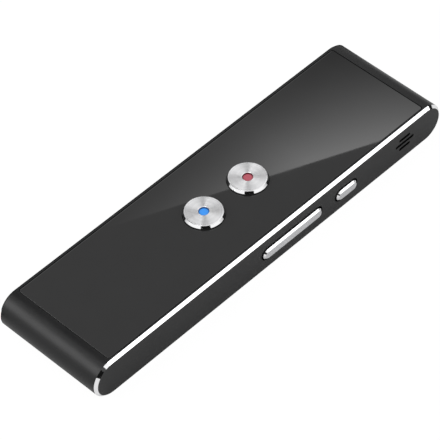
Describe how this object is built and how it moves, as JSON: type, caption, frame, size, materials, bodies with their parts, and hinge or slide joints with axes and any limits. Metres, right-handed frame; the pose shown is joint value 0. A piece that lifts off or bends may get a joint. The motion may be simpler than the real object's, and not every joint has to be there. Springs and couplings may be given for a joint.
{
  "type": "handheld translator",
  "caption": "Slim bar-shaped pocket translator: rounded metal body, gloss front, round press keys with coloured dots, side volume rocker, power button and speaker slots.",
  "frame": {"origin": "middle of the flat back face", "axes": "+X across the width towards the side keys and the speaker slots, +Y along the length towards the charging socket, +Z from the back face to the front panel"},
  "size_m": [0.0387, 0.14, 0.0142],
  "materials": {
    "anodised_shell": "fine blasted black anodising with polished bright chamfers",
    "gloss_panel": "high gloss black",
    "spun_key": "concentric spun face, polished bevel",
    "blue_dot": "gloss enamel blue",
    "red_dot": "gloss enamel red",
    "side_key_metal": "satin with polished bevels",
    "black_moulding": "matte black moulding",
    "grey_moulding": "matte grey moulding",
    "steel": "bright stamped steel",
    "shield_steel": "satin tin-plated steel",
    "socket_steel": "polished plated steel",
    "board_laminate": "green solder mask",
    "chip_moulding": "matte black moulding",
    "ceramic_part": "fired ceramic",
    "flex_film": "amber film over copper",
    "cell_pouch": "dull foil pouch",
    "tape": "matte tape",
    "foam": "closed-cell foam",
    "red_wire": "flexible wire cover",
    "black_wire": "flexible wire cover",
    "white_moulding": "matte white moulding",
    "speaker_cone": "formed film",
    "mesh_cloth": "fine black woven mesh",
    "copper": "bare copper film"
  },
  "bodies": {
    "case": {"housing": "anodised_shell", "front_panel": "gloss_panel", "panel_adhesive": "tape", "key_guide": "black_moulding", "rocker_pin": "steel", "power_switch": "steel", "volume_up_switch": "steel", "volume_down_switch": "steel", "side_key_bracket": "steel", "side_key_flex": "flex_film", "side_key_connector": "white_moulding", "bracket_screws": "steel", "speaker_frame": "black_moulding", "speaker_magnet": "shield_steel", "speaker_diaphragm": "speaker_cone", "speaker_gasket": "foam", "speaker_mesh": "mesh_cloth", "speaker_wires": "black_wire", "battery": "cell_pouch", "battery_tape": "tape", "battery_foam": "foam", "battery_board": "board_laminate", "battery_wire_red": "red_wire", "battery_wire_black": "black_wire", "battery_plug": "white_moulding", "battery_socket": "white_moulding", "inner_frame": "grey_moulding", "main_board": "board_laminate", "board_screws": "steel", "processor_chip": "chip_moulding", "memory_chip": "chip_moulding", "processor_shield": "shield_steel", "radio_chip": "chip_moulding", "radio_shield": "shield_steel", "audio_chip": "chip_moulding", "charge_chip": "chip_moulding", "crystal": "shield_steel", "board_capacitors": "ceramic_part", "usb_shell": "socket_steel", "usb_tongue": "black_moulding", "microphone": "shield_steel", "microphone_boot": "foam", "antenna": "copper", "antenna_cable": "black_wire", "antenna_plug": "copper", "blue_key_switch": "steel", "red_key_switch": "steel"},
    "blue_key": {"blue_key_cap": "spun_key", "blue_key_dot": "blue_dot", "blue_key_carrier": "black_moulding", "blue_key_plunger": "white_moulding"},
    "red_key": {"red_key_cap": "spun_key", "red_key_dot": "red_dot", "red_key_carrier": "black_moulding", "red_key_plunger": "white_moulding"},
    "power_key": {"power_button": "side_key_metal", "power_plunger": "white_moulding"},
    "volume_key": {"volume_rocker": "side_key_metal"},
    "volume_up_contact": {"volume_up_plunger": "white_moulding"},
    "volume_down_contact": {"volume_down_plunger": "white_moulding"}
  },
  "joints": [
    {"name": "blue_key_press", "type": "slide", "parent": "case", "child": "blue_key", "axis": [0, 0, -1], "range_m": [0, 0.0004], "stiffness_N_per_m": 3000},
    {"name": "red_key_press", "type": "slide", "parent": "case", "child": "red_key", "axis": [0, 0, -1], "range_m": [0, 0.0004], "stiffness_N_per_m": 3000},
    {"name": "power_press", "type": "slide", "parent": "case", "child": "power_key", "axis": [-1, 0, 0], "range_m": [0, 0.0003], "stiffness_N_per_m": 3000},
    {"name": "volume_tilt", "type": "hinge", "parent": "case", "child": "volume_key", "pos_m": [0.01426, 0.00675, 0.0065], "axis": [0, 0, 1], "range_deg": [-1.5, 1.5], "stiffness_Nm_per_rad": 0.3},
    {"name": "volume_up_push", "type": "slide", "parent": "case", "child": "volume_up_contact", "axis": [-1, 0, 0], "range_m": [-0.00022, 0.00022]},
    {"name": "volume_down_push", "type": "slide", "parent": "case", "child": "volume_down_contact", "axis": [-1, 0, 0], "range_m": [-0.00022, 0.00022]}
  ],
  "couplings": [
    {"joint": "volume_up_push", "follows": "volume_tilt", "m_per_rad": 0.008},
    {"joint": "volume_down_push", "follows": "volume_tilt", "m_per_rad": -0.008}
  ]
}
